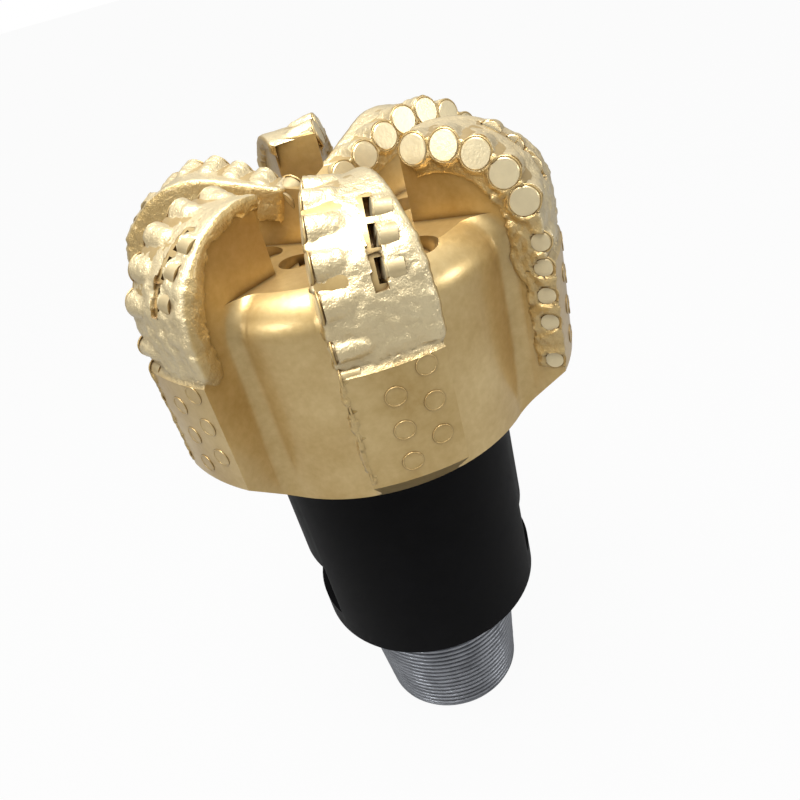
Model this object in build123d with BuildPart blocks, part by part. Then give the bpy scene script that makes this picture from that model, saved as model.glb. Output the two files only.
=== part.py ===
"""A 12-1/4 inch six-blade PDC drill bit, standing on the end of its pin with its cutting face up.

All lengths are in millimetres.  The axis of the bit is +Z and Z = 0 is the flat end of the pin.
Azimuths are measured about +Z from +X.  Each blade is a plate with parallel sides: its leading side
lies in a plane through the axis, and the blade stands on the counter-clockwise side of that plane.
"""

from build123d import *
from math import cos, sin, tan, radians, degrees, sqrt, pi
import os

# ---- driving dimensions ------------------------------------------------------------------------
gauge_radius = 155.575          # 12-1/4 in hole
# pin and shank
pin_length = 127.0              # 6-5/8 in regular rotary pin
pin_base_radius = 75.2          # plain cylinder next to the shoulder
pin_base_length = 15.9
pin_crest_radius = 74.6         # envelope of the thread where it starts
pin_end_radius = 65.5
pin_end_chamfer = 4.0
shank_radius = 98.4
shoulder_radius = 93.0          # outside of the make-up shoulder's bevel
shoulder_bevel = 6.0
shank_length = 196.0            # shoulder to underside of the crown
waterway_radius = 38.0
spigot_shoulder = 7.4
spigot_length = 55.0
spigot_clearance = 0.1
breaker_depth = 11.0
breaker_height = 58.0
breaker_above_shoulder = 30.0
breaker_azimuth = 183.0
# crown
root_height = 44.0              # underside of the crown to the bottom of the gauge pads
core_radius = 122.0
core_top_height = 117.0         # above the bottom of the gauge pads
core_top_radius = 50.0          # where the shoulder's slope meets the dished middle
core_top_drop = 4.0
core_dome = 27.0
core_dome_sweep = 74.0          # degrees
core_dish = 10.0
pad_height = 80.0
nose_radius = 68.0
nose_rise = 104.0               # centre of the nose arc above the bottom of the pads
cone_slope = 18.5               # degrees
cutter_exposure = 4.5
blade_inner_width = 24.0        # its width at the distance from the axis that follows
blade_inner_along = 37.0
blade_width = 61.0
blade_root_fillet = 11.0
weld_groove = 9.0
weld_gap = 0.0
weld_crown = 1.5
# blades: azimuth of the leading side, and where the inner end starts
blade_azimuths = [-97.0, -34.5, 27.5, 83.0, 145.5, 207.5]
primary_start = -8.0
secondary_start = 65.0
# cutters
face_cutter_radius = 9.5
face_cutter_length = 19.0
face_cutter_pitch = 20.9
face_back_rake = 14.0
primary_first_cutter = 21.0     # radius of the innermost cutter on a blade that reaches the middle
secondary_first_cutter = 76.0
last_face_cutter_rise = 112.0   # no large cutter is centred below this height over the pads' bottom
gauge_cutter_radius = 6.72
gauge_cutter_length = 13.0
gauge_cutter_rises = [96.0, 78.5, 58.5, 39.0, 9.5]
gauge_back_rake = 4.0
backup_radius = 8.0
backup_length = 11.0
backup_setback = 37.0           # from the blade's leading side to the face of a backup cutter
backup_angles = [31.0, 47.0, 64.0]   # degrees past the top of the nose
backup_under_exposure = 1.0
backup_relief = 4.0
cutter_protrusion = 2.0         # of a cutter's face past the blade's leading side
cutter_bevel = 0.7
braze_gap = 0.1
# gauge inserts
insert_radius = 6.2
insert_length = 9.0
insert_proud = 0.3
insert_rises = [[13.5, 37.0, 61.0], [25.0, 49.5, 74.0]]
insert_offsets = [28.0, 49.5]   # along the pad from its leading side
# nozzles
nozzle_radius = 13.5
nozzle_length = 28.0
nozzle_lip_radius = 8.5
nozzle_orifice = 5.6
nozzle_sunk = 3.0
nozzle_clearance = 0.1
seal_section = 2.2
passage_radius = 11.0
plenum_radius = 46.0
plenum_top = 62.0               # above the bottom of the pads
nozzle_circle = 51.0
nozzle_slot_width = 5.0
nozzle_slot_depth = 3.0
nozzle_bore_depth = 31.2
passage_length = 70.0
seal_play = 0.05
nozzle_tilt = 12.0
nozzle_past_primary = 50.0      # degrees from the blade's leading side
nozzle_before_primary = 23.0
outer_nozzle_slots = [0, 3]
outer_nozzle_circle = 90.0
outer_nozzle_past = 37.0
outer_nozzle_tilt = 24.0

# ---- derived levels ----------------------------------------------------------------------------
shoulder_z = pin_length
crown_z = shoulder_z + shank_length
pad_z = crown_z + root_height
spigot_radius = shank_radius - weld_groove - spigot_shoulder
nozzle_seat_z = pad_z + core_top_height - core_dish
nose_center_r = gauge_radius - nose_radius
nose_center_z = pad_z + nose_rise
slope = radians(cone_slope)


def polar(azimuth, along, across=0.0, z=0.0):
    """A point at a distance along a blade's leading side and across its width."""
    a = radians(azimuth)
    return Vector(along * cos(a) - across * sin(a), along * sin(a) + across * cos(a), z)


def direction(azimuth, along, across, up):
    return polar(azimuth, along, across, up).normalized()


def profile_arc(inset):
    """Start and middle of the nose arc of the cutting profile, moved inwards by inset."""
    r = nose_radius - inset
    start = (nose_center_r - r * sin(slope), nose_center_z + r * cos(slope))
    middle_angle = (pi / 2 - slope) / 2
    middle = (nose_center_r + r * sin(middle_angle), nose_center_z + r * cos(middle_angle))
    return start, middle


def profile_point(distance, inset=0.0):
    """Point (r, z) and outward normal of the cutting profile at an arc length from the axis.

    The profile is a cone, an arc over the nose and shoulder, and the gauge going down.
    """
    (start_r, start_z), _ = profile_arc(0.0)
    cone_length = start_r / cos(slope)
    arc_length = nose_radius * (pi / 2 + slope)
    if distance < cone_length:
        r = distance * cos(slope)
        z = start_z - (cone_length - distance) * sin(slope)
        nr, nz = -sin(slope), cos(slope)
    elif distance < cone_length + arc_length:
        angle = (distance - cone_length) / nose_radius - slope
        nr, nz = sin(angle), cos(angle)
        r = nose_center_r + nose_radius * nr
        z = nose_center_z + nose_radius * nz
    else:
        nr, nz = 1.0, 0.0
        r = gauge_radius
        z = nose_center_z - (distance - cone_length - arc_length)
    return r - inset * nr, z - inset * nz, nr, nz


def blade_width_at(along):
    """The trailing side flares outwards, so a blade is thin in the middle and wide at its pad."""
    pad_along = sqrt(gauge_radius**2 - blade_width**2)
    flare = (blade_width - blade_inner_width) / (pad_along - blade_inner_along)
    return blade_inner_width + flare * (along - blade_inner_along)


def is_primary(number):
    return number % 2 == 0


def frame_of(azimuth, r, z, nr, nz, across, rake):
    """Plane whose Z leaves a cutter's face: against the blade's width, tipped towards the profile's normal."""
    tip = radians(rake)
    facing = direction(azimuth, nr * sin(tip), -cos(tip), nz * sin(tip))
    return Plane(origin=polar(azimuth, r, across, z), z_dir=facing)


def face_cutter_seats(number):
    """Planes at the faces of the large cutters of a blade, from the middle of the bit outwards."""
    first = primary_first_cutter if is_primary(number) else secondary_first_cutter
    distance = 0.0
    while profile_point(distance, face_cutter_radius)[0] < first:
        distance += 0.25
    seats = []
    while True:
        r, z, nr, nz = profile_point(distance, face_cutter_radius)
        if nr > 0.0 and z < pad_z + last_face_cutter_rise:
            return seats
        seats.append(frame_of(blade_azimuths[number], r, z, nr, nz, -cutter_protrusion, face_back_rake))
        distance += face_cutter_pitch * profile_stretch(nr)


def profile_stretch(nr):
    """On the nose the centres run on a tighter arc than the profile, so they are spaced out to match."""
    return nose_radius / (nose_radius - face_cutter_radius) if abs(nr) != abs(sin(slope)) else 1.0


def gauge_cutter_seats(number):
    r = gauge_radius - gauge_cutter_radius + 0.2
    return [
        frame_of(blade_azimuths[number], r, pad_z + rise, 1.0, 0.0, -cutter_protrusion * 0.4, gauge_back_rake)
        for rise in gauge_cutter_rises
    ]


def backup_seats(number):
    seats = []
    for past_nose in backup_angles:
        angle = radians(past_nose)
        nr, nz = sin(angle), cos(angle)
        reach = nose_radius - backup_under_exposure - backup_radius
        r, z = nose_center_r + reach * nr, nose_center_z + reach * nz
        # the blade's top is a surface of revolution, so the seat follows it round at the setback
        along = sqrt(r**2 - backup_setback**2)
        seats.append(frame_of(blade_azimuths[number], along, z, nr, nz, backup_setback, face_back_rake))
    return seats


def insert_seats(number):
    seats = []
    for offset, rises in zip(insert_offsets, insert_rises):
        azimuth = blade_azimuths[number] + degrees(offset / gauge_radius)
        for rise in rises:
            outward = direction(azimuth, 1.0, 0.0, 0.0)
            origin = polar(azimuth, gauge_radius + insert_proud, 0.0, pad_z + rise)
            seats.append(Plane(origin=origin, z_dir=outward))
    return seats


def nozzle_seats():
    """Planes at the mouths of the nozzle bores: one by the middle in each junk slot, then the outer ones."""
    places = []
    for number, azimuth in enumerate(blade_azimuths):
        if is_primary(number):
            places.append((azimuth + nozzle_past_primary, nozzle_circle, nozzle_tilt))
        else:
            following = blade_azimuths[(number + 1) % len(blade_azimuths)]
            places.append((following - nozzle_before_primary, nozzle_circle, nozzle_tilt))
    for number in outer_nozzle_slots:
        places.append((blade_azimuths[number] + outer_nozzle_past, outer_nozzle_circle, outer_nozzle_tilt))
    seats = []
    for azimuth, circle, tilt in places:
        lean = radians(tilt)
        facing = direction(azimuth, sin(lean), 0.0, cos(lean))
        seats.append(Plane(origin=polar(azimuth, circle, 0.0, nozzle_seat_z), z_dir=facing))
    return seats


def disc(seat, radius, length, bevel=0.0):
    """A round compact whose face lies in the seat's plane, standing back from it."""
    with BuildPart() as compact:
        with BuildSketch(seat):
            Circle(radius)
        extrude(amount=-length)
        if bevel:
            chamfer(compact.faces().sort_by(Axis(seat.origin, seat.z_dir))[-1].edges(), bevel)
    return compact.part


# ---- crown: the milled steel head with its six blades ------------------------------------------
(arc_start, arc_middle) = profile_arc(cutter_exposure)
arc_end = (gauge_radius - cutter_exposure, nose_center_z)
axis_top = arc_start[1] - arc_start[0] * tan(slope)

with BuildPart() as envelope:
    with BuildSketch(Plane.XZ):
        with BuildLine():
            Polyline(
                (0, axis_top),
                (0, crown_z),
                (shank_radius, crown_z),
                (core_radius, pad_z - (gauge_radius - core_radius)),
                (gauge_radius, pad_z),
                (gauge_radius, pad_z + pad_height),
                (gauge_radius - cutter_exposure, pad_z + pad_height + cutter_exposure),
                arc_end,
            )
            ThreePointArc(arc_end, arc_middle, arc_start)
            Line(arc_start, (0, axis_top))
        make_face()
    revolve(axis=Axis.Z)

dome_center = (core_radius - core_dome, pad_z + core_top_height - core_dome)


def on_dome(sweep):
    angle = radians(sweep)
    return dome_center[0] + core_dome * cos(angle), dome_center[1] + core_dome * sin(angle)


with BuildPart() as spider:
    with BuildSketch(Plane.XZ):
        with BuildLine():
            Polyline(
                (0, pad_z + core_top_height - core_dish),
                (0, crown_z),
                (core_radius, crown_z),
                on_dome(0.0),
            )
            ThreePointArc(on_dome(0.0), on_dome(core_dome_sweep / 2), on_dome(core_dome_sweep))
            Polyline(
                on_dome(core_dome_sweep),
                (core_top_radius, pad_z + core_top_height - core_top_drop),
                (0, pad_z + core_top_height - core_dish),
            )
        make_face()
    revolve(axis=Axis.Z)
    reach = gauge_radius + blade_width
    for number, azimuth in enumerate(blade_azimuths):
        start = primary_start if is_primary(number) else secondary_start
        with BuildSketch(Plane.XY.offset(crown_z)):
            with Locations(Location((0, 0, 0), (0, 0, azimuth))):
                Polygon(
                    (start, 0),
                    (reach, 0),
                    (reach, blade_width_at(reach)),
                    (start, blade_width_at(start)),
                    align=None,
                )
        extrude(amount=nose_center_z + nose_radius - crown_z)


def is_root_edge(edge):
    """An upright edge where a blade's side meets the core; the fillet runs on over the dome."""
    middle = edge.position_at(0.5)
    return edge.geom_type == GeomType.LINE and abs(sqrt(middle.X**2 + middle.Y**2) - core_radius) < 0.01


face_cutters = []
shoulder_cutters = []
gauge_cutters = []
backup_cutters = []
inserts = []
pocket_tools = []


def ground_to_gauge(body):
    """Cut a cutter back to the cylinder of the hole."""
    with BuildPart() as ground:
        add(body)
        with BuildSketch(Plane.XY.offset(crown_z)):
            Circle(gauge_radius)
        extrude(amount=root_height + nose_rise + nose_radius, mode=Mode.INTERSECT)
    return ground.part


for number in range(len(blade_azimuths)):
    large = face_cutter_seats(number)
    split_at = len(large) // 2
    bodies = [disc(seat, face_cutter_radius, face_cutter_length, cutter_bevel) for seat in large]
    face_cutters.append(bodies[:split_at])
    shoulder_cutters.append([ground_to_gauge(body) for body in bodies[split_at:]])
    small = gauge_cutter_seats(number)
    bodies = [disc(seat, gauge_cutter_radius, gauge_cutter_length, cutter_bevel) for seat in small]
    gauge_cutters.append([ground_to_gauge(body) for body in bodies])
    backs = backup_seats(number)
    backup_cutters.append([disc(seat, backup_radius, backup_length, cutter_bevel) for seat in backs])
    buttons = insert_seats(number)
    inserts.append([disc(seat, insert_radius, insert_length) for seat in buttons])
    for seat in large:
        pocket_tools.append(disc(seat, face_cutter_radius + braze_gap, face_cutter_length + braze_gap))
    for seat in small:
        pocket_tools.append(disc(seat, gauge_cutter_radius + braze_gap, gauge_cutter_length + braze_gap))
    for seat in backs:
        # the pocket runs on in front of the cutter so that its face stands clear
        forward = seat.offset(backup_relief)
        pocket_tools.append(disc(forward, backup_radius + braze_gap, backup_length + backup_relief + braze_gap))
    for seat in buttons:
        pocket_tools.append(disc(seat.offset(1.0), insert_radius + braze_gap, insert_length + 1.0 + braze_gap))

# nozzles, their seals and the passages from the plenum
nozzles = []
seals = []
seal_middle = nozzle_length * 0.6
for seat in nozzle_seats():
    sunk = seat.offset(-nozzle_sunk)
    with BuildPart() as nozzle:
        with BuildSketch(sunk):
            Circle(nozzle_radius)
        extrude(amount=-nozzle_length)
        with BuildSketch(sunk):
            Circle(nozzle_lip_radius)
        extrude(amount=-nozzle_length / 3, taper=16, mode=Mode.SUBTRACT)
        with BuildSketch(sunk.offset(-nozzle_length)):
            Circle(nozzle_lip_radius)
        extrude(amount=nozzle_length / 3, taper=16, mode=Mode.SUBTRACT)
        with BuildSketch(sunk):
            Circle(nozzle_orifice)
        extrude(amount=-nozzle_length, mode=Mode.SUBTRACT)
        with BuildSketch(sunk.offset(-seal_middle - seal_section / 2)):
            Circle(nozzle_radius)
            Circle(nozzle_radius - seal_section, mode=Mode.SUBTRACT)
        extrude(amount=seal_section, mode=Mode.SUBTRACT)
        with BuildSketch(sunk):
            Circle(nozzle_radius)
            Rectangle(2 * nozzle_radius + 1, nozzle_slot_width)
            Circle(nozzle_lip_radius, mode=Mode.SUBTRACT)
            with Locations((0, (nozzle_radius + nozzle_slot_width) / 2 + 1)):
                Rectangle(3 * nozzle_radius, nozzle_radius + 2, mode=Mode.SUBTRACT)
            with Locations((0, -(nozzle_radius + nozzle_slot_width) / 2 - 1)):
                Rectangle(3 * nozzle_radius, nozzle_radius + 2, mode=Mode.SUBTRACT)
        extrude(amount=-nozzle_slot_depth, mode=Mode.SUBTRACT)
    nozzles.append(nozzle.part)
    with BuildPart() as seal:
        with BuildSketch(sunk.offset(-seal_middle - seal_section / 2 + seal_play)):
            Circle(nozzle_radius + nozzle_clearance - seal_play)
            Circle(nozzle_radius - seal_section + seal_play, mode=Mode.SUBTRACT)
        extrude(amount=seal_section - 2 * seal_play)
        fillet(seal.edges(), seal_section * 0.3)
    seals.append(seal.part)
    pocket_tools.append(disc(seat.offset(core_dome), nozzle_radius + nozzle_clearance, core_dome + nozzle_bore_depth))
    pocket_tools.append(disc(seat, passage_radius, passage_length))

with BuildPart() as crown:
    add(spider.part)
    fillet(crown.edges().filter_by(is_root_edge), blade_root_fillet)
    add(envelope.part, mode=Mode.INTERSECT)
    # socket for the shank's spigot, and the plenum that feeds the nozzles
    with BuildSketch(Plane.XY.offset(crown_z)):
        Circle(spigot_radius + spigot_clearance)
    extrude(amount=spigot_length + spigot_clearance, mode=Mode.SUBTRACT)
    with BuildSketch(Plane.XY.offset(crown_z)):
        Circle(plenum_radius)
    extrude(amount=pad_z + plenum_top - crown_z, mode=Mode.SUBTRACT)
    # half of the groove that the weld fills
    with BuildSketch(Plane.XZ):
        with BuildLine():
            Polyline(
                (shank_radius - weld_groove, crown_z),
                (shank_radius, crown_z + weld_groove),
                (shank_radius + weld_groove, crown_z + weld_groove),
                (shank_radius + weld_groove, crown_z),
                (shank_radius - weld_groove, crown_z),
            )
        make_face()
    revolve(axis=Axis.Z, mode=Mode.SUBTRACT)
    add(pocket_tools, mode=Mode.SUBTRACT)

# ---- shank and pin, turned from one bar --------------------------------------------------------
with BuildPart() as shank:
    with BuildSketch(Plane.XZ):
        with BuildLine():
            Polyline(
                (waterway_radius, 0),
                (pin_end_radius - pin_end_chamfer, 0),
                (pin_end_radius, pin_end_chamfer),
                (pin_crest_radius, pin_length - pin_base_length),
                (pin_base_radius, pin_length - pin_base_length),
                (pin_base_radius, shoulder_z),
                (shoulder_radius, shoulder_z),
                (shank_radius, shoulder_z + shoulder_bevel),
                (shank_radius, crown_z - weld_groove),
                (shank_radius - weld_groove, crown_z),
                (spigot_radius, crown_z),
                (spigot_radius, crown_z + spigot_length),
                (waterway_radius, crown_z + spigot_length),
                (waterway_radius, 0),
            )
        make_face()
    revolve(axis=Axis.Z)
    # the two breaker slots
    for side in (0.0, 180.0):
        with BuildSketch(Plane.XY.offset(shoulder_z + breaker_above_shoulder)):
            with Locations(Location((0, 0, 0), (0, 0, breaker_azimuth + side))):
                with Locations((shank_radius, 0)):
                    Rectangle(2 * breaker_depth, 2 * shank_radius)
        extrude(amount=breaker_height, mode=Mode.SUBTRACT)

with BuildPart() as weld:
    with BuildSketch(Plane.XZ):
        with BuildLine():
            Polyline(
                (shank_radius - weld_groove + weld_gap, crown_z),
                (shank_radius, crown_z - weld_groove + weld_gap),
            )
            ThreePointArc(
                (shank_radius, crown_z - weld_groove + weld_gap),
                (shank_radius + weld_crown, crown_z),
                (shank_radius, crown_z + weld_groove - weld_gap),
            )
            Line(
                (shank_radius, crown_z + weld_groove - weld_gap),
                (shank_radius - weld_groove + weld_gap, crown_z),
            )
        make_face()
    revolve(axis=Axis.Z)

# ---- write one file for each node --------------------------------------------------------------
os.makedirs("parts", exist_ok=True)
for stale in os.listdir("parts"):
    os.remove(os.path.join("parts", stale))


def write(pieces, label):
    """Write one piece, or a group of like pieces as separate solids, under the node's name."""
    shape = pieces[0] if len(pieces) == 1 else Compound(children=list(pieces))
    shape.label = label
    export_step(shape, f"parts/{label}.step")


write([crown.part], "crown")
write([shank.part], "shank_and_pin")
write([weld.part], "crown_weld")
for number in range(len(blade_azimuths)):
    name = f"blade_{number + 1}"
    write(face_cutters[number], f"{name}_nose_cutters")
    write(shoulder_cutters[number], f"{name}_shoulder_cutters")
    write(gauge_cutters[number], f"{name}_gauge_cutters")
    write(backup_cutters[number], f"{name}_backup_cutters")
    write(inserts[number], f"{name}_gauge_inserts")
for number, (nozzle_part, seal_part) in enumerate(zip(nozzles, seals)):
    write([nozzle_part], f"nozzle_{number + 1}")
    write([seal_part], f"nozzle_{number + 1}_seal")
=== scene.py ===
"""Dresses a drill bit: gold paint, hardfacing, braze, insert rings and the thread of its pin."""

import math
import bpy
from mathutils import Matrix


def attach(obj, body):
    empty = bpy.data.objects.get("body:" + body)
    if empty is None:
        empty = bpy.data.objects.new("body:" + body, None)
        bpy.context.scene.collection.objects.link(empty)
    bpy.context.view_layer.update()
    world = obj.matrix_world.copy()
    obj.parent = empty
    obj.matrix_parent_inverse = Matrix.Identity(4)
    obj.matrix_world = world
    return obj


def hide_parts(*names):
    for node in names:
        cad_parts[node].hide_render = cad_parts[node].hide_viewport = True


bl_info = {
    "name": "Drill Bit Dressing",
    "version": (1, 0, 0),
    "blender": (4, 5, 0),
    "location": "View3D > Sidebar > Drill Bit",
    "description": "Paint, hardfacing, braze rings, insert rings and pin thread for a drill bit",
    "category": "Object",
}

from typing import NamedTuple

import bpy
from bpy.props import FloatProperty, FloatVectorProperty, IntProperty, PointerProperty
from mathutils import Matrix, Vector, noise

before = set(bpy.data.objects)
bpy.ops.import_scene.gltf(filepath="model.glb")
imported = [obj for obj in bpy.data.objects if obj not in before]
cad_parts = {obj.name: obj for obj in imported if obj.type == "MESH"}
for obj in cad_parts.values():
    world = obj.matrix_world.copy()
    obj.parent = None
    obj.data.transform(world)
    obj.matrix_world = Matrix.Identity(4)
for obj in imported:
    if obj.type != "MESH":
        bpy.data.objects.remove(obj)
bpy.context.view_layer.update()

MM = 0.001

# ---- the bit's own sizes, in millimetres and degrees -------------------------------------------
# A name in Z is a height above the pin's end, one in R a distance from the axis, and a rise is a
# height above the foot of the gauge pads. A pair is for the long blades 1, 3, 5 and then for the
# short blades 2, 4, 6. Along and across are measured on a blade from its leading side.
BLADE_AZIMUTHS = (-97.0, -34.5, 27.5, 83.0, 145.5, 207.5)
GAUGE_RADIUS = 155.575
PAD_Z = 367.0
PAD_TOP_Z = 447.0
PAD_WIDTH = 61.0
PAD_ALONG = math.sqrt(GAUGE_RADIUS**2 - PAD_WIDTH**2)
INNER_WIDTH = 24.0
INNER_ALONG = 37.0
FLARE = (PAD_WIDTH - INNER_WIDTH) / (PAD_ALONG - INNER_ALONG)
NOSE_RADIUS = 68.0
NOSE_CENTER_R = GAUGE_RADIUS - NOSE_RADIUS
NOSE_CENTER_Z = PAD_Z + 104.0
CONE_SLOPE = math.radians(18.5)
EXPOSURE = 4.5

CUTTER_PITCH = 20.9
FIRST_CUTTER_R = (21.0, 76.0)
LAST_CUTTER_RISE = 112.0
GAUGE_CUTTER_RISES = (96.0, 78.5, 58.5, 39.0, 9.5)
GAUGE_GRIND = 0.2
BACKUP_ANGLES = (31.0, 47.0, 64.0)
BACKUP_SETBACK = 37.0
BACKUP_RADIUS = 8.0
BACKUP_SUNK = 1.0
INSERT_RING_RADIUS = 6.25
INSERT_RING_LIFT = 0.05
INSERT_COLUMNS = ((28.0, (13.5, 37.0, 61.0)), (49.5, (25.0, 49.5, 74.0)))

BORE_RADIUS = 38.0
THREAD_FOOT_Z = 4.0
THREAD_FOOT_R = 65.5
THREAD_TOP_Z = 111.1
THREAD_TOP_R = 74.6

# ---- how the dressing is laid ------------------------------------------------------------------
# Where the rough layer ends, it sinks to one of the negative depths, under the blade's own surface.
LAYER_START_R = (22.0, 66.5)
LAYER_SPACING = 1.55
SIDE_SPACING = 1.5
TOP_STEPS = 38
DEEP_LIP_BLADE = 4
DEEP_LIP_SHARE = 2.5
HIDDEN = -1.6
PAD_HIDDEN = -1.5
FACE_HIDDEN = -0.8
END_HIDDEN = -1.2
POCKET_DEPTH = -13.0
BRAZE_BACK = 1.3
THREAD_COLUMNS = 121
ROWS_PER_TURN = 12
# The painted highlight on the tops fades in over these heights, just above the pads.
TOP_HIGHLIGHT_EDGE = ((PAD_TOP_Z - 1.0) * MM, (PAD_TOP_Z + 4.0) * MM)
BLACK_PAINT_EDGE = (127.2 * MM, 127.8 * MM)

# ---- the studio, in metres and watts -----------------------------------------------------------
# Each lamp has a name, a place, a target, the size of its square and a power.
LAMPS = (
    ("top lamp", (-0.15, -0.25, 1.80), (0.0, 0.0, 0.45), 0.8, 30.0),
    ("left lamp", (-1.3, -1.1, 1.05), (0.0, 0.0, 0.40), 0.35, 4.5),
    ("right lamp", (1.5, -0.7, 0.75), (0.0, 0.0, 0.40), 0.35, 4.0),
)
WHITE = (1.0, 1.0, 1.0)
SKY_LOW = (0.13, 0.127, 0.12)
SKY_HIGH = (0.95, 0.95, 0.95)
SKY_EDGE = (-0.1, 0.9)
FLOOR_GREY = (0.36, 0.36, 0.36, 1.0)
FLOOR_GLOW = 0.95
CAMERA_PLACE = (0.0, -0.5046, 0.6506)
CAMERA_TARGET = (0.0, 0.0, 0.3230)
CAMERA_ROLL = math.radians(-16.0)
CAMERA_LENS = 32.9
CAMERA_SHIFT = (0.022, 0.0086)


# ---- sizes and colours of the panel ------------------------------------------------------------
def length_property(name, description, default):
    return FloatProperty(
        name=name,
        description=description,
        default=default * MM,
        subtype="DISTANCE",
        unit="LENGTH",
    )


def colour_property(name, description, default):
    return FloatVectorProperty(
        name=name,
        description=description,
        default=default,
        subtype="COLOR",
        size=3,
    )


class DressingSizes(bpy.types.PropertyGroup):
    hardfacing_thickness: length_property(
        "Hardfacing Thickness",
        "Mean thickness of the rough layer on the blade tops",
        2.1,
    )
    hardfacing_lumps: length_property(
        "Hardfacing Lumps",
        "Height of the lumps in the rough layer",
        1.9,
    )
    leading_band: length_property(
        "Leading Band",
        "Depth of the rough band on a blade's leading side, below the cutters' edge",
        23.0,
    )
    trailing_lip: length_property(
        "Trailing Lip",
        "Depth of the rounded lip that hangs over a blade's trailing side",
        13.0,
    )
    thread_pitch: length_property(
        "Thread Pitch",
        "Axial distance between the turns of the pin's thread",
        6.35,
    )
    thread_depth: length_property(
        "Thread Depth",
        "Depth of the thread below its crests",
        3.3,
    )
    ring_sides: IntProperty(
        name="Ring Sides",
        description="Segments round each braze ring",
        default=36,
    )


class DressingColours(bpy.types.PropertyGroup):
    gold_light: colour_property(
        "Gold Light",
        "Paint where it is thick and clean",
        (0.76, 0.575, 0.275),
    )
    gold_deep: colour_property(
        "Gold Deep",
        "Paint where it is thin or stained",
        (0.52, 0.345, 0.118),
    )
    # Painted highlight: the lighter colour that the tops of the blades are lifted towards, standing
    # in for the light that falls on them.
    gold_painted_highlight: colour_property(
        "Gold Painted Highlight",
        "Thick paint on the tops of the blades",
        (0.92, 0.80, 0.52),
    )
    # Painted shade: the dark colour that crevices and the spots behind the cutters are darkened to.
    gold_painted_shade: colour_property(
        "Gold Painted Shade",
        "Painted shade in crevices and behind the cutters",
        (0.17, 0.095, 0.03),
    )
    cutter_cream: colour_property(
        "Cutter Cream",
        "Painted faces of the cutters",
        (0.82, 0.70, 0.44),
    )
    shank_black: colour_property(
        "Shank Black",
        "Paint of the shank",
        (0.0022, 0.0022, 0.0026),
    )
    thread_steel: colour_property(
        "Thread Steel",
        "Bare steel of the pin",
        (0.44, 0.46, 0.50),
    )


def swatch(name, share=1.0):
    """A colour of the panel, darkened to a share of itself or brightened beyond it."""
    return tuple(channel * share for channel in getattr(bpy.context.scene.bit_colours, name))


# ---- materials ---------------------------------------------------------------------------------
class Wire:
    """A socket that adds Math nodes when Python arithmetic is done on it."""

    def __init__(self, tree, socket):
        self.tree = tree
        self.socket = socket

    def _math(self, operation, other=None, swap=False):
        node = self.tree.nodes.new("ShaderNodeMath")
        node.operation = operation
        values = [other, self] if swap else [self, other]
        for slot, value in zip(node.inputs, values):
            if isinstance(value, Wire):
                self.tree.links.new(value.socket, slot)
            elif value is not None:
                slot.default_value = value
        return Wire(self.tree, node.outputs[0])

    def __add__(self, other):
        return self._math("ADD", other)

    __radd__ = __add__

    def __sub__(self, other):
        return self._math("SUBTRACT", other)

    def __rsub__(self, other):
        return self._math("SUBTRACT", other, swap=True)

    def __mul__(self, other):
        return self._math("MULTIPLY", other)

    def __truediv__(self, other):
        return self._math("DIVIDE", other)

    def clamp(self):
        held = self._math("ADD", 0.0)
        held.socket.node.use_clamp = True
        return held

    def step(self, low, high):
        """0 up to low, 1 from high on, and a straight rise between them."""
        return ((self - low) / (high - low)).clamp()

    def root(self):
        return self._math("POWER", 0.5)

    def absolute(self):
        return self._math("ABSOLUTE")

    def larger(self, other):
        return self._math("MAXIMUM", other)


class Nodes:
    """A node tree under construction."""

    def __init__(self, tree):
        self.tree = tree

    def node(self, kind, settings=None, **sockets):
        made = self.tree.nodes.new(kind)
        for key, value in (settings or {}).items():
            setattr(made, key, value)
        for key, value in sockets.items():
            self.feed(made.inputs[key.replace("_", " ")], value)
        return made

    def feed(self, slot, value):
        if isinstance(value, Wire):
            self.tree.links.new(value.socket, slot)
        elif isinstance(value, bpy.types.NodeSocket):
            self.tree.links.new(value, slot)
        else:
            slot.default_value = value

    def wire(self, socket):
        return Wire(self.tree, socket)

    def blend(self, mask, first, second):
        """The first colour where the mask is 0, the second where it is 1."""
        made = self.node("ShaderNodeMix", {"data_type": "RGBA"})
        share, colour_a, colour_b = (made.inputs[index] for index in (0, 6, 7))
        self.feed(share, mask)
        for slot, value in ((colour_a, first), (colour_b, second)):
            self.feed(slot, (*value, 1.0) if isinstance(value, tuple) else value)
        return made.outputs[2]

    def split(self, socket):
        made = self.node("ShaderNodeSeparateXYZ", None, Vector=socket)
        return [self.wire(made.outputs[axis]) for axis in "XYZ"]

    def camera_ray(self):
        return self.wire(self.node("ShaderNodeLightPath").outputs["Is Camera Ray"])


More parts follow.
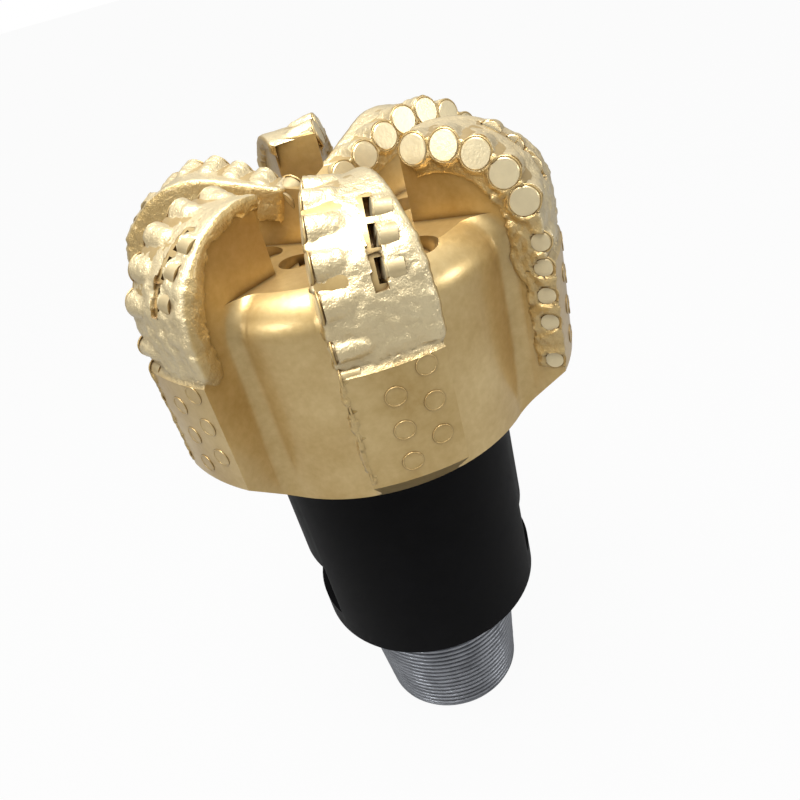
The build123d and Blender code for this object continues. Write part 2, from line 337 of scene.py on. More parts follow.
class Finish(Nodes):
    """A material under construction."""

    def __init__(self, name):
        self.material = bpy.data.materials.new(name)
        self.material.use_nodes = True
        super().__init__(self.material.node_tree)
        self.shader = self.tree.nodes["Principled BSDF"]

    def place(self):
        return self.node("ShaderNodeTexCoord").outputs["Object"]

    def noise(self, scale, detail=3.0, roughness=0.55):
        made = self.node(
            "ShaderNodeTexNoise",
            None,
            Vector=self.place(),
            Scale=scale,
            Detail=detail,
            Roughness=roughness,
        )
        return self.wire(made.outputs["Fac"])

    def height(self):
        return self.split(self.place())[2]

    def along_travel(self):
        """1 on a face that looks the way the cutters travel round the axis, -1 on its back."""
        x, y, _ = self.split(self.place())
        nx, ny, _ = self.split(self.node("ShaderNodeNewGeometry").outputs["Normal"])
        return (nx * y - ny * x) / (x * x + y * y).root().larger(0.001)

    def painted_shade_mask(self, reach):
        """Mask for painted shade: 0 deep in a crevice, 1 on open surface."""
        made = self.node("ShaderNodeAmbientOcclusion", {"samples": 8}, Distance=reach)
        return self.wire(made.outputs["AO"]).step(0.35, 0.95)

    def bump(self, height, distance, below=None):
        made = self.node("ShaderNodeBump", None, Height=height, Distance=distance)
        if below is not None:
            self.feed(made.inputs["Normal"], below)
        return made.outputs["Normal"]

    def set(self, **sockets):
        for key, value in sockets.items():
            self.feed(self.shader.inputs[key.replace("_", " ")], value)
        return self.material


def made_once(build):
    """Build a material when its name is first asked for, and hand out the same one later."""

    def fetch(name, *settings, **named):
        return bpy.data.materials.get(name) or build(Finish(name), *settings, **named)

    return fetch


@made_once
def gold_paint(paint, grain, lumps, pale=0.0):
    """Metallic gold; grain and lumps are bumps in metres, and the last setting is the share of
    painted highlight on the tops.
    """
    cloud = paint.noise(14.0, 4.0).step(0.35, 0.68)
    fine = paint.noise(900.0, 2.0)
    coarse = paint.noise(210.0, 4.0, 0.6)
    mask = (cloud * 0.7 + coarse.step(0.3, 0.7) * 0.3).clamp()
    colour = paint.blend(mask, swatch("gold_deep"), swatch("gold_light"))
    # Painted highlight: faces on the tops above the pads are lightened, standing in for the light
    # that falls on them.
    if pale:
        above_pad = paint.height().step(*TOP_HIGHLIGHT_EDGE)
        top = (1.0 - paint.along_travel().absolute().step(0.45, 0.75)) * above_pad
        colour = paint.blend(((mask * 0.2 + pale) * top).clamp(), colour, swatch("gold_painted_highlight"))
    # Painted shade: crevices are darkened by an ambient occlusion mask.
    colour = paint.blend(paint.painted_shade_mask(0.007), swatch("gold_painted_shade"), colour)
    normal = paint.bump(fine, grain)
    normal = paint.bump(coarse, lumps, below=normal)
    return paint.set(
        Base_Color=colour,
        Roughness=0.33 + (1.0 - cloud) * 0.07,
        Metallic=0.72,
        Coat_Weight=0.45,
        Coat_Roughness=0.16,
        Normal=normal,
    )


@made_once
def cutter_finish(paint):
    """Cream on the cutters' faces, which look along the travel, and gold on their backs, with a
    painted highlight on the backs above the pads and painted shade in crevices.
    """
    face = paint.along_travel().step(0.90, 0.94)
    smudge = paint.noise(120.0, 3.0).step(0.35, 0.7)
    back = paint.blend(smudge, swatch("gold_deep"), swatch("gold_light"))
    # Painted highlight: the backs of the cutters above the pads are lightened halfway to the
    # highlight colour.
    pale = paint.height().step(*TOP_HIGHLIGHT_EDGE) * 0.5
    back = paint.blend(pale, back, swatch("gold_painted_highlight"))
    front = paint.blend(smudge, swatch("cutter_cream", 0.90), swatch("cutter_cream"))
    colour = paint.blend(face, back, front)
    # Painted shade: crevices are darkened by an ambient occlusion mask.
    colour = paint.blend(paint.painted_shade_mask(0.004), swatch("gold_painted_shade"), colour)
    return paint.set(
        Base_Color=colour,
        Roughness=0.36 - face * 0.06,
        Metallic=0.75 - face * 0.30,
        Normal=paint.bump(paint.noise(500.0, 3.0), 0.00012),
    )


@made_once
def plain_finish(paint, dark, light, scale, rough, grain):
    """Paint or rubber mottled between two colours."""
    mask = paint.noise(scale, 4.0).step(0.3, 0.7)
    return paint.set(
        Base_Color=paint.blend(mask, dark, light),
        Roughness=rough + mask * 0.08,
        Metallic=0.0,
        Normal=paint.bump(paint.noise(scale * 6, 3.0), grain),
    )


@made_once
def shank_finish(paint):
    """Black paint down to the make-up shoulder, bare turned steel below it."""
    bare = 1.0 - paint.height().step(*BLACK_PAINT_EDGE)
    dust = paint.noise(30.0, 5.0).step(0.45, 0.8)
    painted = paint.blend(dust, swatch("shank_black"), swatch("shank_black", 2.0))
    return paint.set(
        Base_Color=paint.blend(bare, painted, swatch("thread_steel")),
        Roughness=0.48 + dust * 0.08,
        Metallic=bare,
        Specular_IOR_Level=0.06,
        Normal=paint.bump(paint.noise(700.0, 3.0), 0.00008),
    )


@made_once
def thread_finish(paint):
    """Cut steel, stained in clouds, with painted shade darkening its grooves."""
    stain = paint.noise(45.0, 4.0).step(0.40, 0.75)
    streak = paint.noise(260.0, 2.0)
    mask = (stain * 0.7 + streak * 0.3).clamp()
    colour = paint.blend(mask, swatch("thread_steel"), swatch("thread_steel", 0.45))
    # Painted shade: the grooves are darkened by an ambient occlusion mask.
    colour = paint.blend(paint.painted_shade_mask(0.006), (0.035, 0.035, 0.038), colour)
    return paint.set(
        Base_Color=colour,
        Roughness=0.34 + stain * 0.12,
        Metallic=0.9,
        Normal=paint.bump(streak, 0.0002),
    )


# ---- the bit's own geometry, in millimetres ----------------------------------------------------
class Cutter(NamedTuple):
    """A size of round cutter, and how the rough layer lies round it."""

    radius: float
    rake: float
    across: float  # of its face from the blade's leading side
    lip: float  # how much thicker the layer is at the foot of the face than beside it
    lean: float  # how fast the ridge behind it sinks


class Seat(NamedTuple):
    """A point of a profile, as its distance from the axis and its height, and the way out of it."""

    r: float
    z: float
    nr: float
    nz: float

    def sunk(self, depth):
        """Distance from the axis and height of the point that lies this deep below the seat."""
        return self.r - self.nr * depth, self.z - self.nz * depth

    def aside(self, r, z):
        """How far a point lies from the seat along the profile."""
        return (r - self.r) * self.nz - (z - self.z) * self.nr

    def below(self, r, z):
        """How far a point lies below the seat."""
        return (self.r - r) * self.nr + (self.z - z) * self.nz


FACE_CUTTER = Cutter(radius=9.5, rake=14.0, across=-2.0, lip=2.2, lean=0.19)
GAUGE_CUTTER = Cutter(radius=6.72, rake=4.0, across=-0.8, lip=0.5, lean=0.10)


def turn(azimuth):
    return Matrix.Rotation(math.radians(azimuth), 3, "Z")


def ramp(value, low, high):
    """0 at low, 1 at high, and a smooth rise between them; low may be the larger."""
    t = min(1.0, max(0.0, (value - low) / (high - low)))
    return t * t * (3.0 - 2.0 * t)


def mix(first, second, share):
    return first + (second - first) * share


def arch(aside, radius):
    """Height of a round bar's top at a distance aside from its middle, zero at its middle."""
    return math.sqrt(radius**2 - aside**2) - radius


def lump(point, scale, seed=0.0):
    return noise.noise(point / scale + Vector((seed, seed * 0.7, -seed)))


def width_at(along):
    """Width of a blade at a distance along it: it flares towards its pad."""
    return INNER_WIDTH + FLARE * (along - INNER_ALONG)


def along_at(reach, across):
    """Distance along a blade of a point at a reach from the axis, across from its leading side."""
    return math.sqrt(max(reach**2 - across**2, 1.0))


def trailing_edge(reach):
    """Distances along and across a blade where a circle round the axis meets its trailing side."""
    along = along_at(reach, width_at(reach * 0.93))
    for _ in range(6):
        along = along_at(reach, width_at(along))
    return along, width_at(along)


def cutting_profile(distance, inset):
    """Seat at a distance from the axis along the cutters' profile, sunk by an inset."""
    start_r = NOSE_CENTER_R - NOSE_RADIUS * math.sin(CONE_SLOPE)
    start_z = NOSE_CENTER_Z + NOSE_RADIUS * math.cos(CONE_SLOPE)
    cone = start_r / math.cos(CONE_SLOPE)
    if distance < cone:
        nr, nz = -math.sin(CONE_SLOPE), math.cos(CONE_SLOPE)
        r = distance * math.cos(CONE_SLOPE)
        z = start_z - (cone - distance) * math.sin(CONE_SLOPE)
    else:
        angle = (distance - cone) / NOSE_RADIUS - CONE_SLOPE
        nr, nz = math.sin(angle), math.cos(angle)
        r, z = NOSE_CENTER_R + NOSE_RADIUS * nr, NOSE_CENTER_Z + NOSE_RADIUS * nz
    return Seat(r - inset * nr, z - inset * nz, nr, nz)


def face_cutters(number):
    """Seats of a blade's large cutters, from the middle of the bit outwards."""
    radius = FACE_CUTTER.radius
    distance = 0.0
    while cutting_profile(distance, radius).r < FIRST_CUTTER_R[number % 2]:
        distance += 0.25
    found = []
    seat = cutting_profile(distance, radius)
    while seat.nr <= 0.0 or seat.z >= PAD_Z + LAST_CUTTER_RISE:
        found.append(seat)
        on_cone = abs(abs(seat.nr) - math.sin(CONE_SLOPE)) < 1e-9
        spread = 1.0 if on_cone else NOSE_RADIUS / (NOSE_RADIUS - radius)
        distance += CUTTER_PITCH * spread
        seat = cutting_profile(distance, radius)
    return found


def gauge_cutters():
    """Seats of a blade's small cutters, from the top down."""
    r = GAUGE_RADIUS + GAUGE_GRIND - GAUGE_CUTTER.radius
    return [Seat(r, PAD_Z + rise, 1.0, 0.0) for rise in GAUGE_CUTTER_RISES]


def backup_cutters():
    """Seats of the cutters behind a blade's first row."""
    arc = NOSE_RADIUS - BACKUP_RADIUS - BACKUP_SUNK
    found = []
    for past_nose in BACKUP_ANGLES:
        angle = math.radians(past_nose)
        nr, nz = math.sin(angle), math.cos(angle)
        found.append(Seat(NOSE_CENTER_R + arc * nr, NOSE_CENTER_Z + arc * nz, nr, nz))
    return found


def blade_profile(first_r, spacing):
    """Seats along the bare top of a blade, from a distance from the axis to its pad's foot."""
    arc = NOSE_RADIUS - EXPOSURE
    start_r = NOSE_CENTER_R - arc * math.sin(CONE_SLOPE)
    start_z = NOSE_CENTER_Z + arc * math.cos(CONE_SLOPE)
    seats = []
    steps = max(1, round((start_r - first_r) / math.cos(CONE_SLOPE) / spacing))
    for i in range(steps):
        r = first_r + (start_r - first_r) * i / steps
        z = start_z - (start_r - r) * math.tan(CONE_SLOPE)
        seats.append(Seat(r, z, -math.sin(CONE_SLOPE), math.cos(CONE_SLOPE)))
    sweep = math.pi / 2 + CONE_SLOPE
    steps = round(arc * sweep / spacing)
    for i in range(steps + 1):
        angle = sweep * i / steps - CONE_SLOPE
        nr, nz = math.sin(angle), math.cos(angle)
        seats.append(Seat(NOSE_CENTER_R + arc * nr, NOSE_CENTER_Z + arc * nz, nr, nz))
    body_r = GAUGE_RADIUS - EXPOSURE
    corners = (
        (body_r, NOSE_CENTER_Z),
        (body_r, PAD_TOP_Z + EXPOSURE),
        (GAUGE_RADIUS, PAD_TOP_Z),
        (GAUGE_RADIUS, PAD_Z + 2.0),
    )
    for (r0, z0), (r1, z1) in zip(corners, corners[1:]):
        size = math.hypot(r1 - r0, z1 - z0)
        steps = max(1, round(size / spacing))
        nr, nz = (z0 - z1) / size, (r1 - r0) / size
        for i in range(1, steps + 1):
            seats.append(Seat(r0 + (r1 - r0) * i / steps, z0 + (z1 - z0) * i / steps, nr, nz))
    return [averaged(seats, i) for i in range(len(seats))]


def averaged(seats, index):
    """A seat of a row whose way out is the mean of its own and its neighbours'."""
    near = seats[max(0, index - 1) : index + 2]
    nr, nz = sum(seat.nr for seat in near), sum(seat.nz for seat in near)
    size = math.hypot(nr, nz)
    return Seat(seats[index].r, seats[index].z, nr / size, nz / size)


# ---- the rough layer ---------------------------------------------------------------------------
class Grain(NamedTuple):
    """How the rough layer varies at a point."""

    past: float  # degrees past the nose
    rough: float  # 0 on the smooth nose, 1 on the rough shoulder
    broad: float  # wide lumps, from -1 to 1
    fine: float  # small lumps, from -1 to 1
    edge: float  # how far the layer's border strays, in millimetres
    relief: float  # height of both kinds of lumps, in millimetres


class BladeSkin:
    """Where the rough layer of one blade lies, and how thick it is there.

    A place is a seat of the blade's profile, a side of the blade (lead, top or trail) and a value:
    the depth below the profile on a side, and the share of the blade's width on its top.
    """

    def __init__(self, number, sizes):
        self.number = number
        large = [(seat, FACE_CUTTER) for seat in face_cutters(number)]
        small = [(seat, GAUGE_CUTTER) for seat in gauge_cutters()]
        self.cutters = large + small
        self.ridged = large + small[:1]
        self.backups = backup_cutters()
        self.thick = sizes.hardfacing_thickness / MM
        self.lumps = sizes.hardfacing_lumps / MM
        self.band = sizes.leading_band / MM
        self.lip = sizes.trailing_lip / MM
        if number == DEEP_LIP_BLADE:
            self.lip *= DEEP_LIP_SHARE

    def layer(self, rotate):
        """Rows of points of the layer's surface in metres, from the bit's middle outwards."""
        seats = blade_profile(LAYER_START_R[self.number % 2], LAYER_SPACING)
        columns = self.columns()
        rows = []
        for row, seat in enumerate(seats):
            held = ramp(row, -0.5, 3.0) * ramp(len(seats) - 1 - row, -0.5, 2.0)
            spots = [self.spot(seat, side, value) for side, value in columns]
            rows.append([])
            for column, (side, value) in enumerate(columns):
                point = spots[column][0]
                around = [way for _, way in spots[max(0, column - 1) : column + 2]]
                way = sum(around, Vector()).normalized()
                t = mix(END_HIDDEN, self.thickness(seat, side, value, point), held)
                rows[-1].append(rotate @ (point + way * t) * MM)
        return rows

    def columns(self):
        """Places across the blade: up its leading side, over its top and down its trailing side."""
        deep = self.band + 5.0
        lead = [("lead", deep - i * SIDE_SPACING) for i in range(int(deep / SIDE_SPACING))]
        top = [("top", i / TOP_STEPS) for i in range(TOP_STEPS + 1)]
        deep = self.lip + 8.0
        trail = [("trail", (i + 1) * SIDE_SPACING) for i in range(int(deep / SIDE_SPACING))]
        return lead + top + trail

    def spot(self, seat, side, value):
        """Point on the bare blade and the way out of it, for a blade that points along +X."""
        if side == "lead":
            r, z = seat.sunk(value)
            return Vector((r, 0.0, z)), Vector((0.0, -1.0, 0.0))
        if side == "trail":
            reach, z = seat.sunk(value)
            along, width = trailing_edge(reach)
            flare = math.atan(FLARE)
            return Vector((along, width, z)), Vector((-math.sin(flare), math.cos(flare), 0.0))
        across = trailing_edge(seat.r)[1] * value
        along = along_at(seat.r, across)
        way = Vector((along * seat.nr / seat.r, across * seat.nr / seat.r, seat.nz))
        return Vector((along, across, seat.z)), way

    def grain(self, seat, point):
        seed = 3.1 * self.number
        broad = lump(point, 7.0, seed)
        fine = lump(point, 2.9, seed + 9.0)
        edge = lump(point, 5.0, seed + 4.0) * 2.4 + lump(point, 2.0, seed + 6.0) * 1.2
        past = math.degrees(math.atan2(seat.nr, seat.nz))
        rough = ramp(past, 36.0, 60.0)
        relief = (broad * 0.75 + fine * 0.45) * self.lumps * (0.35 + 0.65 * rough)
        return Grain(past, rough, broad, fine, edge, relief)

    def thickness(self, seat, side, value, point):
        """Thickness of the layer; below zero it lies hidden under the blade's own surface."""
        grain = self.grain(seat, point)
        on_pad = seat.z < PAD_TOP_Z - 0.5
        if side == "lead":
            return self.lead_thickness(seat, value, grain, on_pad)
        if side == "trail":
            return PAD_HIDDEN if on_pad else self.trail_thickness(seat, value, grain)
        if on_pad:
            return self.pad_thickness(point.y, grain)
        return self.top_thickness(seat, point.y, grain)

    def lead_thickness(self, seat, depth, grain, on_pad):
        """A band below the leading edge, heaped round each cutter and hidden behind its face."""
        band = self.band * (0.85 if on_pad else 1.0)
        coarse = ramp(grain.past, 20.0, 45.0)
        rim = band + grain.edge * (0.2 + 0.8 * coarse)
        body = 0.9 + 1.2 * coarse + grain.relief * (0.5 + coarse)
        t = mix(body, HIDDEN, ramp(depth, rim - 1.2, rim + 0.8))
        r, z = seat.sunk(depth)
        for cutter_seat, cutter in self.cutters:
            below = cutter_seat.below(r, z)
            far = math.hypot(cutter_seat.aside(r, z), below) - cutter.radius
            if far < -0.4:
                t = FACE_HIDDEN
            elif far < 3.4:
                lip = 1.5 + cutter.lip * max(-0.2, below / cutter.radius)
                t = max(t, lip * (1.0 - ramp(far, 1.2, 3.4)) + grain.relief * 0.2)
        return t

    def trail_thickness(self, seat, depth, grain):
        """A lip that hangs over the trailing edge and dies out towards the pad."""
        body = 3.2 + 1.4 * grain.rough + grain.relief * 0.6
        body -= 1.6 * ramp(depth, self.lip * 0.5, self.lip)
        lip = self.lip * (0.75 + 0.25 * grain.rough) + grain.edge * 1.3
        t = mix(body, HIDDEN, ramp(depth, lip - 1.4, lip + 0.7))
        t *= 1.0 - ramp(seat.z, PAD_TOP_Z + 7.0, PAD_TOP_Z + 1.0)
        return t + PAD_HIDDEN * ramp(seat.z, PAD_TOP_Z + 5.0, PAD_TOP_Z)

    def pad_thickness(self, across, grain):
        """A narrow strip along the pad's leading edge."""
        rim = 2.6 + grain.edge
        return mix(0.9 + grain.relief * 0.7, PAD_HIDDEN, ramp(across, rim - 0.8, rim + 0.8))

    def top_thickness(self, seat, across, grain):
        """The rough top: thin between the cutters, thick behind them and at the trailing edge."""
        width = width_at(along_at(seat.r, across))
        body = mix(0.55, self.thick, grain.rough) + grain.relief
        body += 1.7 * ramp(across, width - 11.0, width - 3.0)
        valley = 1.0 - ramp(across, 15.0, 24.0) * (0.3 + 0.7 * grain.rough)
        valley *= 1.0 - ramp(grain.past, 66.0, 84.0) * 0.35
        body = mix(body, -0.1 + grain.relief * 0.3, valley)
        jag = PAD_TOP_Z + EXPOSURE - 1.0 + grain.edge * 0.9
        t = mix(body, 0.2, ramp(seat.z, jag + 1.0, jag - 2.5))
        t = self.ridged_thickness(t, seat, across, grain)
        return self.pocketed_thickness(t, seat, across, grain)

    def ridged_thickness(self, t, seat, across, grain):
        """A ridge runs back from each cutter and sinks into the top."""
        if across <= 1.6:
            return t
        for cutter_seat, cutter in self.ridged:
            aside = cutter_seat.aside(seat.r, seat.z)
            height = EXPOSURE + 1.5 - across * cutter.lean - 1.5 * ramp(across, 17.0, 24.0)
            if abs(aside) < cutter.radius and height > -1.0:
                uneven = grain.broad * 0.5 + grain.fine * 0.4
                t = max(t, arch(aside, cutter.radius) + height + uneven)
        return t

    def pocketed_thickness(self, t, seat, across, grain):
        """A pocket opens in front of each backup cutter, and a hump covers the cutter's body."""
        behind = across - BACKUP_SETBACK
        for backup in self.backups:
            aside = backup.aside(seat.r, seat.z)
            if abs(aside) < BACKUP_RADIUS + 0.9 and -5.2 < behind < 1.2:
                t = POCKET_DEPTH
            elif abs(aside) < BACKUP_RADIUS and 1.2 <= behind < 12.5:
                height = 4.2 - behind * 0.22 + grain.fine * 0.2
                t = max(t, arch(aside, BACKUP_RADIUS) + height)
        return t


# ---- building pieces ---------------------------------------------------------------------------
def settle(piece, material):
    """Give a new piece its material, its body and its paint slot."""
    piece.data.materials.clear()
    piece.data.materials.append(material)
    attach(piece, "root")


def fresh_grid(name, columns, rows):
    bpy.ops.object.select_all(action="DESELECT")
    bpy.ops.mesh.primitive_grid_add(x_subdivisions=columns - 1, y_subdivisions=rows - 1, size=1.0)
    piece = bpy.context.active_object
    piece.name = name
    piece.data.name = name
    return piece


def bend_grid(piece, columns, rows, place):
    """Move each vertex of a flat grid to place(column, row)."""
    for vertex in piece.data.vertices:
        column = round((vertex.co.x + 0.5) * (columns - 1))
        row = round((vertex.co.y + 0.5) * (rows - 1))
        vertex.co = place(column, row)
    piece.data.update()


def fresh_ring(radius, thickness, sides):
    bpy.ops.object.select_all(action="DESELECT")
    bpy.ops.mesh.primitive_torus_add(
        major_segments=sides,
        minor_segments=8,
        major_radius=radius * MM,
        minor_radius=thickness * MM,
    )
    return bpy.context.active_object


def merge_vertices(piece, cut_z=None):
    """Merge vertices in one place, and cut away what lies below a height if one is given."""
    bpy.context.view_layer.objects.active = piece
    bpy.ops.object.mode_set(mode="EDIT")
    bpy.ops.mesh.select_all(action="SELECT")
    bpy.ops.mesh.remove_doubles(threshold=0.00001)
    if cut_z is not None:
        bpy.ops.mesh.bisect(
            plane_co=(0.0, 0.0, cut_z * MM),
            plane_no=(0.0, 0.0, 1.0),
            clear_inner=True,
            clear_outer=False,
        )
    bpy.ops.object.mode_set(mode="OBJECT")


def smooth(piece, angle):
    bpy.ops.object.select_all(action="DESELECT")
    piece.select_set(True)
    bpy.context.view_layer.objects.active = piece
    bpy.ops.object.shade_smooth_by_angle(angle=math.radians(angle))


def face_away(piece, centre):
    """Turn all faces over when most of them look at centre(point)."""
    mesh = piece.data
    vote = sum(p.normal.dot(p.center - centre(p.center)) * p.area for p in mesh.polygons)
    if vote < 0:
        mesh.flip_normals()


def joined(pieces, name):
    bpy.ops.object.select_all(action="DESELECT")
    for piece in pieces:
        piece.select_set(True)
    bpy.context.view_layer.objects.active = pieces[0]
    bpy.ops.object.join()
    whole = bpy.context.active_object
    bpy.ops.object.transform_apply(location=True, rotation=True, scale=True)
    whole.name = name
    whole.data.name = name
    return whole


def copies(first, places, name):
    """Copy one modelled piece to each place, with its own mesh, and join the copies."""
    made = []
    for place in places:
        twin = first.copy()
        twin.data = first.data.copy()
        twin.matrix_world = place
        bpy.context.collection.objects.link(twin)
        made.append(twin)
    bpy.data.objects.remove(first)
    return joined(made, name)


def facing_matrix(origin, facing):
    """Stands a piece modelled round +Z at an origin in millimetres, looking a way."""
    rotation = facing.to_track_quat("Z", "Y").to_matrix().to_4x4()
    return Matrix.Translation(origin * MM) @ rotation


def seat_matrix(azimuth, seat, cutter):
    """Stands a braze ring round a cutter, a little behind its face."""
    rake = math.radians(cutter.rake)
    way = Vector((seat.nr * math.sin(rake), -math.cos(rake), seat.nz * math.sin(rake)))
    facing = turn(azimuth) @ way
    origin = turn(azimuth) @ Vector((seat.r, cutter.across, seat.z))
    return facing_matrix(origin - facing * BRAZE_BACK, facing)


class BIT_OT_hardfacing(bpy.types.Operator):
    """Lay the rough layer on every blade"""

    bl_idname = "bit.hardfacing"
    bl_label = "Hardfacing"

    def execute(self, context):
        paint = gold_paint("rough gold paint", grain=0.00030, lumps=0.0013, pale=0.5)
        for number, azimuth in enumerate(BLADE_AZIMUTHS):
            rotate = turn(azimuth)
            layer = BladeSkin(number, context.scene.bit_sizes).layer(rotate)
            rows, columns = len(layer), len(layer[0])
            piece = fresh_grid(f"blade_{number + 1}_hardfacing", columns, rows)
            bend_grid(piece, columns, rows, lambda column, row: layer[row][column])
            blade_middle = rotate @ Vector((70.0, 20.0, 440.0)) * MM
            face_away(piece, lambda point: blade_middle)
            smooth(piece, 80.0)
            settle(piece, paint)
        return {"FINISHED"}


class BIT_OT_braze_rings(bpy.types.Operator):
    """Put a fillet of braze round every cutter"""

    bl_idname = "bit.braze_rings"
    bl_label = "Braze Rings"

    def execute(self, context):
        paint = gold_paint("braze gold paint", grain=0.00020, lumps=0.0004)
        sides = context.scene.bit_sizes.ring_sides
        for number, azimuth in enumerate(BLADE_AZIMUTHS):
            for label, cutter, seats in (
                ("face", FACE_CUTTER, face_cutters(number)),
                ("gauge", GAUGE_CUTTER, gauge_cutters()),
            ):
                ring = fresh_ring(cutter.radius + 0.55, 0.75, sides)
                for vertex in ring.data.vertices:
                    wobble = lump(vertex.co / MM, 3.0, number + cutter.radius)
                    vertex.co *= 1.0 + wobble * 0.014
                places = [seat_matrix(azimuth, seat, cutter) for seat in seats]
                whole = copies(ring, places, f"blade_{number + 1}_{label}_braze")
                smooth(whole, 80.0)
                settle(whole, paint)
        return {"FINISHED"}


class BIT_OT_insert_rings(bpy.types.Operator):
    """Ring each wear insert of the gauge pads"""

    bl_idname = "bit.insert_rings"
    bl_label = "Insert Rings"

    def execute(self, context):
        paint = gold_paint("braze gold paint", grain=0.00020, lumps=0.0004)
        for number, azimuth in enumerate(BLADE_AZIMUTHS):
            ring = fresh_ring(INSERT_RING_RADIUS, 0.55, 40)
            for vertex in ring.data.vertices:
                vertex.co.z *= 1.1 + 0.5 * lump(vertex.co / MM, 4.0, number)
            places = []
            for offset, rises in INSERT_COLUMNS:
                rotate = turn(azimuth + math.degrees(offset / GAUGE_RADIUS))
                facing = rotate @ Vector((1.0, 0.0, 0.0))
                for rise in rises:
                    foot = facing * (GAUGE_RADIUS + INSERT_RING_LIFT)
                    places.append(facing_matrix(foot + Vector((0.0, 0.0, PAD_Z + rise)), facing))
            whole = copies(ring, places, f"blade_{number + 1}_insert_rings")
            smooth(whole, 80.0)
            settle(whole, paint)
        return {"FINISHED"}


class BIT_OT_shank_and_thread(bpy.types.Operator):
    """Dress the shank and cut the thread of its pin"""

    bl_idname = "bit.shank_and_thread"
    bl_label = "Shank and Thread"

    def execute(self, context):
        self.dress_shank(context)
        self.cut_thread(context.scene.bit_sizes)
        return {"FINISHED"}

    def dress_shank(self, context):
        """Copy the turned bar and leave out the length that the cut thread stands for."""
        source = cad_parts["shank_and_pin"]
        bpy.ops.object.select_all(action="DESELECT")
        shank = source.copy()
        shank.data = source.data.copy()
        shank.parent = None
        shank.matrix_world = Matrix.Identity(4)
        shank.name = "shank"
        context.collection.objects.link(shank)
        shank.hide_set(False)
        shank.select_set(True)
        merge_vertices(shank, cut_z=THREAD_TOP_Z)
        if shank.data.has_custom_normals:
            bpy.ops.mesh.customdata_custom_splitnormals_clear()
        smooth(shank, 30.0)
        settle(shank, shank_finish("shank black and steel"))
        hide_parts("shank_and_pin")

    def cut_thread(self, sizes):
        """Make the tapered thread, the pin's end and its bore as one turned grid."""
        pitch = sizes.thread_pitch / MM
        depth = sizes.thread_depth / MM
        end = (
            (BORE_RADIUS, THREAD_TOP_Z),
            (BORE_RADIUS, 55.0),
            (BORE_RADIUS, 0.6),
            (BORE_RADIUS + 0.6, 0.0),
            (61.5, 0.0),
            (63.4, 2.0),
        )
        length = THREAD_TOP_Z - THREAD_FOOT_Z
        turned_rows = int(length / pitch * ROWS_PER_TURN) + 1
        rows = len(end) + turned_rows
        thread = fresh_grid("pin_thread", THREAD_COLUMNS, rows)

        def thread_radius(share, z):
            """Radius of the thread at a share of a turn and a height; it fades out at both ends."""
            crest = mix(THREAD_FOOT_R, THREAD_TOP_R, (z - THREAD_FOOT_Z) / length)
            tooth = 1.0 - abs((z / pitch + share) % 1.0 * 2.0 - 1.0)
            fade = ramp(z, THREAD_FOOT_Z, THREAD_FOOT_Z + 4.0)
            fade *= 1.0 - ramp(z, THREAD_TOP_Z - 3.0, THREAD_TOP_Z)
            angle = 2 * math.pi * share
            wear = lump(Vector((math.cos(angle) * 30, math.sin(angle) * 30, z)), 6.0) * 0.12
            return crest - depth * ramp(tooth, 0.16, 0.84) * fade - 0.15 + wear

        def place(column, row):
            share = column % (THREAD_COLUMNS - 1) / (THREAD_COLUMNS - 1)
            if row < len(end):
                r, z = end[row]
            else:
                z = THREAD_FOOT_Z + length * (row - len(end)) / (turned_rows - 1)
                r = thread_radius(share, z)
            angle = 2 * math.pi * share
            return Vector((r * math.cos(angle), r * math.sin(angle), z)) * MM

        bend_grid(thread, THREAD_COLUMNS, rows, place)
        merge_vertices(thread)
        face_away(thread, lambda point: Vector((0.0, 0.0, point.z)))
        smooth(thread, 50.0)
        settle(thread, thread_finish("cut thread steel"))


class BIT_OT_frame_finishes(bpy.types.Operator):
    """Give every solid of the bit its finish, apart from the shank, which a piece stands for"""

    bl_idname = "bit.frame_finishes"
    bl_label = "Frame Finishes"

    def execute(self, context):
        gold = gold_paint("smooth gold paint", grain=0.00005, lumps=0.00012)
        black = plain_finish(
            "weld black paint",
            dark=(0.006, 0.006, 0.007),
            light=(0.012, 0.012, 0.013),
            scale=60.0,
            rough=0.38,
            grain=0.0002,
        )
        rubber = plain_finish(
            "seal rubber",
            dark=(0.012, 0.012, 0.012),
            light=(0.02, 0.02, 0.02),
            scale=90.0,
            rough=0.6,
            grain=0.0001,
        )
        for name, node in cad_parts.items():
            if name == "shank_and_pin":
                continue
            if name.endswith("cutters"):
                material = cutter_finish("cutter paint")
            elif name.endswith("seal"):
                material = rubber
            elif name == "crown_weld":
                material = black
            else:
                material = gold
            node.data.materials.clear()
            node.data.materials.append(material)
        return {"FINISHED"}


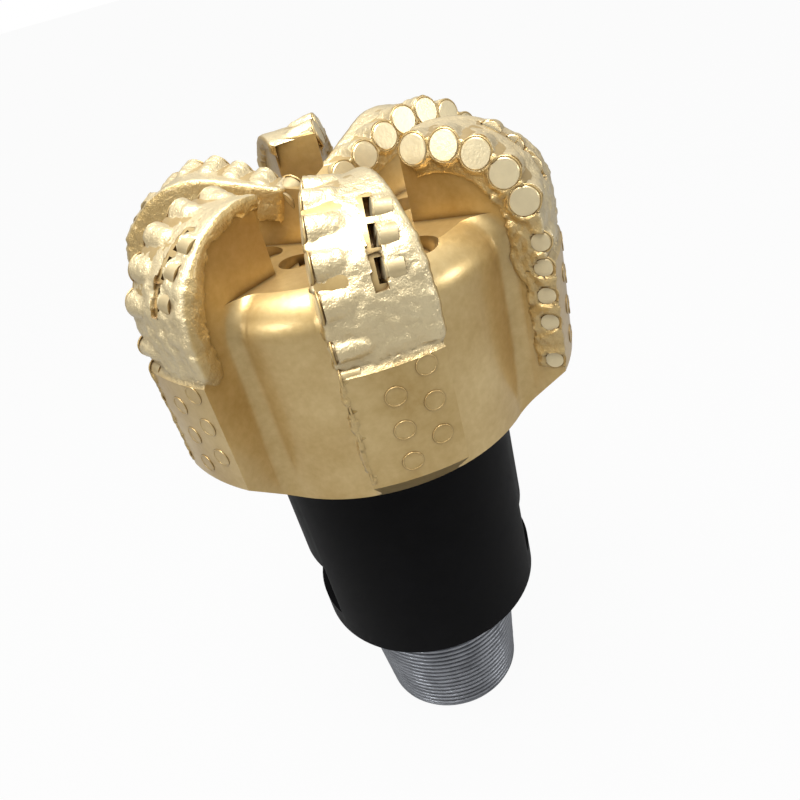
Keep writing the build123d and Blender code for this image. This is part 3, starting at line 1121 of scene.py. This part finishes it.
class BIT_OT_studio(bpy.types.Operator):
    """Lay the floor and set the lamps, the sky and the camera"""

    bl_idname = "bit.studio"
    bl_label = "Studio"

    def execute(self, context):
        context.scene.view_settings.view_transform = "Standard"
        self.lay_floor()
        self.set_sky(context.scene)
        self.hang_lamps(context.collection)
        self.set_camera(context)
        return {"FINISHED"}

    def lay_floor(self):
        """A grey floor that the camera sees as nearly white, so that shadows stay faint."""
        bpy.ops.object.select_all(action="DESELECT")
        bpy.ops.mesh.primitive_plane_add(size=120.0)
        floor = bpy.context.active_object
        floor.name = "floor"
        paper = Finish("floor paper")
        floor.data.materials.append(paper.set(Base_Color=FLOOR_GREY, Roughness=0.9))
        glow = paper.node("ShaderNodeEmission", None, Color=(*WHITE, 1.0), Strength=1.0)
        mix_node = paper.node("ShaderNodeMixShader", None, Fac=paper.camera_ray() * FLOOR_GLOW)
        paper.feed(mix_node.inputs[1], paper.shader.outputs[0])
        paper.feed(mix_node.inputs[2], glow.outputs[0])
        paper.feed(paper.tree.nodes["Material Output"].inputs["Surface"], mix_node.outputs[0])

    def set_sky(self, scene):
        """White for the camera; for the bit, a sky that darkens towards the floor."""
        scene.world = bpy.data.worlds.new("studio")
        scene.world.use_nodes = True
        sky = Nodes(scene.world.node_tree)
        height = sky.split(sky.node("ShaderNodeTexCoord").outputs["Generated"])[2]
        light = sky.blend(height.step(*SKY_EDGE), SKY_LOW, SKY_HIGH)
        colour = sky.blend(sky.camera_ray(), light, WHITE)
        sky.feed(sky.tree.nodes["Background"].inputs["Color"], colour)

    def hang_lamps(self, collection):
        for name, place, target, size, power in LAMPS:
            lamp = bpy.data.lights.new(name, "AREA")
            lamp.size = size
            lamp.energy = power
            holder = bpy.data.objects.new(name, lamp)
            holder.location = place
            ahead = Vector(target) - Vector(place)
            holder.rotation_euler = ahead.to_track_quat("-Z", "Y").to_euler()
            collection.objects.link(holder)

    def set_camera(self, context):
        camera = bpy.data.objects.new("camera", bpy.data.cameras.new("camera"))
        context.collection.objects.link(camera)
        place = Vector(CAMERA_PLACE)
        ahead = (Vector(CAMERA_TARGET) - place).normalized()
        right = ahead.cross(Vector((0.0, 0.0, 1.0))).normalized()
        up = right.cross(ahead)
        tilted_right = right * math.cos(CAMERA_ROLL) + up * math.sin(CAMERA_ROLL)
        tilted_up = up * math.cos(CAMERA_ROLL) - right * math.sin(CAMERA_ROLL)
        axes = Matrix((tilted_right, tilted_up, -ahead)).transposed()
        camera.matrix_world = Matrix.Translation(place) @ axes.to_4x4()
        camera.data.sensor_width = 36.0
        camera.data.lens = CAMERA_LENS
        camera.data.shift_x, camera.data.shift_y = CAMERA_SHIFT
        camera.data.clip_start = 0.01
        camera.data.clip_end = 200.0
        context.scene.camera = camera


class BIT_PT_dressing(bpy.types.Panel):
    """Sizes, colours and steps of the dressing"""

    bl_idname = "BIT_PT_dressing"
    bl_label = "Drill Bit"
    bl_space_type = "VIEW_3D"
    bl_region_type = "UI"
    bl_category = "Drill Bit"

    def draw(self, context):
        for step in STEPS:
            self.layout.operator(step.bl_idname)
        for group in (context.scene.bit_sizes, context.scene.bit_colours):
            box = self.layout.box()
            for name in group.__annotations__:
                box.prop(group, name)


STEPS = (
    BIT_OT_frame_finishes,
    BIT_OT_shank_and_thread,
    BIT_OT_hardfacing,
    BIT_OT_braze_rings,
    BIT_OT_insert_rings,
    BIT_OT_studio,
)
CLASSES = (DressingSizes, DressingColours, *STEPS, BIT_PT_dressing)


def register():
    for cls in CLASSES:
        bpy.utils.register_class(cls)
    bpy.types.Scene.bit_sizes = PointerProperty(type=DressingSizes)
    bpy.types.Scene.bit_colours = PointerProperty(type=DressingColours)


def unregister():
    del bpy.types.Scene.bit_colours
    del bpy.types.Scene.bit_sizes
    for cls in reversed(CLASSES):
        bpy.utils.unregister_class(cls)


def main():
    register()
    bpy.ops.bit.frame_finishes()
    bpy.ops.bit.shank_and_thread()
    bpy.ops.bit.hardfacing()
    bpy.ops.bit.braze_rings()
    bpy.ops.bit.insert_rings()
    bpy.ops.bit.studio()


if __name__ == "__main__":
    main()
